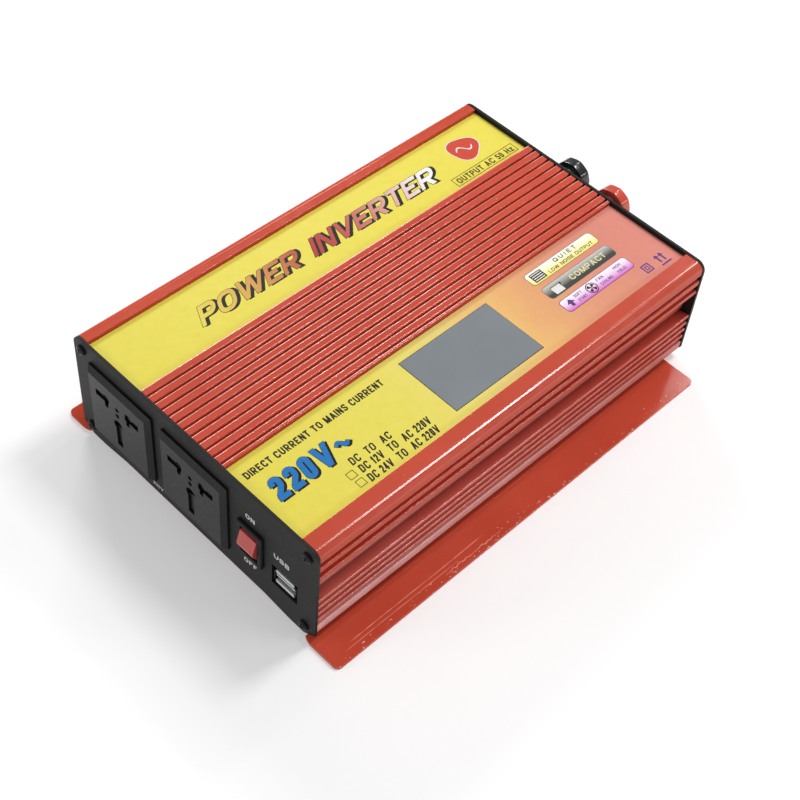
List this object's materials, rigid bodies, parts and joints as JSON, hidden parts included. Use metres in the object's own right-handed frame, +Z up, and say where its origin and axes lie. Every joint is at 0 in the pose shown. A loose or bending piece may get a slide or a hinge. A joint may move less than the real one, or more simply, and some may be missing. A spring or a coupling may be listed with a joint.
{
  "type": "power inverter",
  "caption": "Flat ribbed metal box on a winged mounting plate that turns battery current into mains current, with sockets, rocker switch and USB port in front, battery posts and fan behind.",
  "frame": {"origin": "centre of the whole outline seen from above, on the underside of the mounting plate", "axes": "+X to the right seen from the socket end, +Y from the socket end to the battery end, +Z up"},
  "size_m": [0.1808, 0.2624, 0.062],
  "materials": {
    "red_paint": "smooth semi-gloss red lacquer on aluminium",
    "black_paint": "fine satin black powder coat",
    "black_steel": "black oxide",
    "label_film": "printed film, yellow",
    "window_film": "dark tinted, glossy",
    "black_plastic": "fine moulded texture",
    "circuit_board": "green solder mask",
    "brass": "machined, bright",
    "red_plastic": "moulded, semi-gloss",
    "steel": "plated",
    "white_plastic": "moulded",
    "ferrite": "pressed ferrite, dark grey",
    "copper_wire": "enamelled copper wire",
    "capacitor_sleeve": "shrunk sleeve",
    "aluminium": "extruded, plain",
    "fuse_plastic": "translucent moulded"
  },
  "bodies": {
    "case": {"base_plate": "red_paint", "bottom_shell": "red_paint", "top_shell": "red_paint", "front_plate": "black_paint", "rear_plate": "black_paint", "front_screw_upper_left": "black_steel", "front_screw_upper_right": "black_steel", "front_screw_lower_left": "black_steel", "front_screw_lower_right": "black_steel", "rear_screw_upper_left": "black_steel", "rear_screw_upper_right": "black_steel", "rear_screw_lower_left": "black_steel", "rear_screw_lower_right": "black_steel", "fan_screw_1": "black_steel", "fan_screw_2": "black_steel", "fan_screw_3": "black_steel", "fan_screw_4": "black_steel", "left_label": "label_film", "right_label": "label_film", "display_window": "window_film", "display_panel": "black_plastic", "left_socket": "black_plastic", "right_socket": "black_plastic", "switch_housing": "black_plastic", "black_post_bush": "black_plastic", "fan_frame": "black_plastic", "display_board": "circuit_board", "usb_board": "circuit_board", "main_board": "circuit_board", "left_socket_live_contact": "brass", "left_socket_neutral_contact": "brass", "left_socket_earth_contact": "brass", "right_socket_live_contact": "brass", "right_socket_neutral_contact": "brass", "right_socket_earth_contact": "brass", "switch_supply_terminal": "brass", "switch_load_terminal": "brass", "black_post_stud": "brass", "black_post_nut": "brass", "red_post_stud": "brass", "red_post_nut": "brass", "red_post_bush": "red_plastic", "usb_shell": "steel", "usb_tongue": "white_plastic", "transformer_core": "ferrite", "transformer_winding": "copper_wire", "choke": "copper_wire", "input_capacitor": "capacitor_sleeve", "bus_capacitor": "capacitor_sleeve", "left_heat_sink": "aluminium", "right_heat_sink": "aluminium", "fuse_1": "fuse_plastic", "fuse_2": "fuse_plastic", "fuse_3": "fuse_plastic"},
    "rocker": {"switch_rocker": "red_plastic"},
    "fan": {"fan_rotor": "black_plastic"},
    "black_post_carriage": {"black_post_washer": "brass"},
    "black_post_cap": {"black_post_knob": "black_plastic"},
    "red_post_carriage": {"red_post_washer": "brass"},
    "red_post_cap": {"red_post_knob": "red_plastic"}
  },
  "joints": [
    {"name": "switch_press", "type": "hinge", "parent": "case", "child": "rocker", "pos_m": [0.03505, -0.12227, 0.03], "axis": [-1, 0, 0], "range_deg": [0, 16]},
    {"name": "fan_spin", "type": "hinge", "parent": "case", "child": "fan", "pos_m": [-0.04595, 0.10603, 0.0306], "axis": [0, 1, 0], "continuous": true},
    {"name": "black_post_travel", "type": "slide", "parent": "case", "child": "black_post_carriage", "axis": [0, 1, 0], "range_m": [-0.00201, 0.00251]},
    {"name": "black_post_turn", "type": "hinge", "parent": "black_post_carriage", "child": "black_post_cap", "pos_m": [-0.01515, 0.12223, 0.0493], "axis": [0, 1, 0], "range_deg": [-720, 900]},
    {"name": "red_post_travel", "type": "slide", "parent": "case", "child": "red_post_carriage", "axis": [0, 1, 0], "range_m": [-0.00201, 0.00251]},
    {"name": "red_post_turn", "type": "hinge", "parent": "red_post_carriage", "child": "red_post_cap", "pos_m": [0.01085, 0.12223, 0.0493], "axis": [0, 1, 0], "range_deg": [-720, 900]}
  ],
  "couplings": [
    {"joint": "black_post_travel", "follows": "black_post_turn", "m_per_rad": 0.00015915},
    {"joint": "red_post_travel", "follows": "red_post_turn", "m_per_rad": 0.00015915}
  ]
}
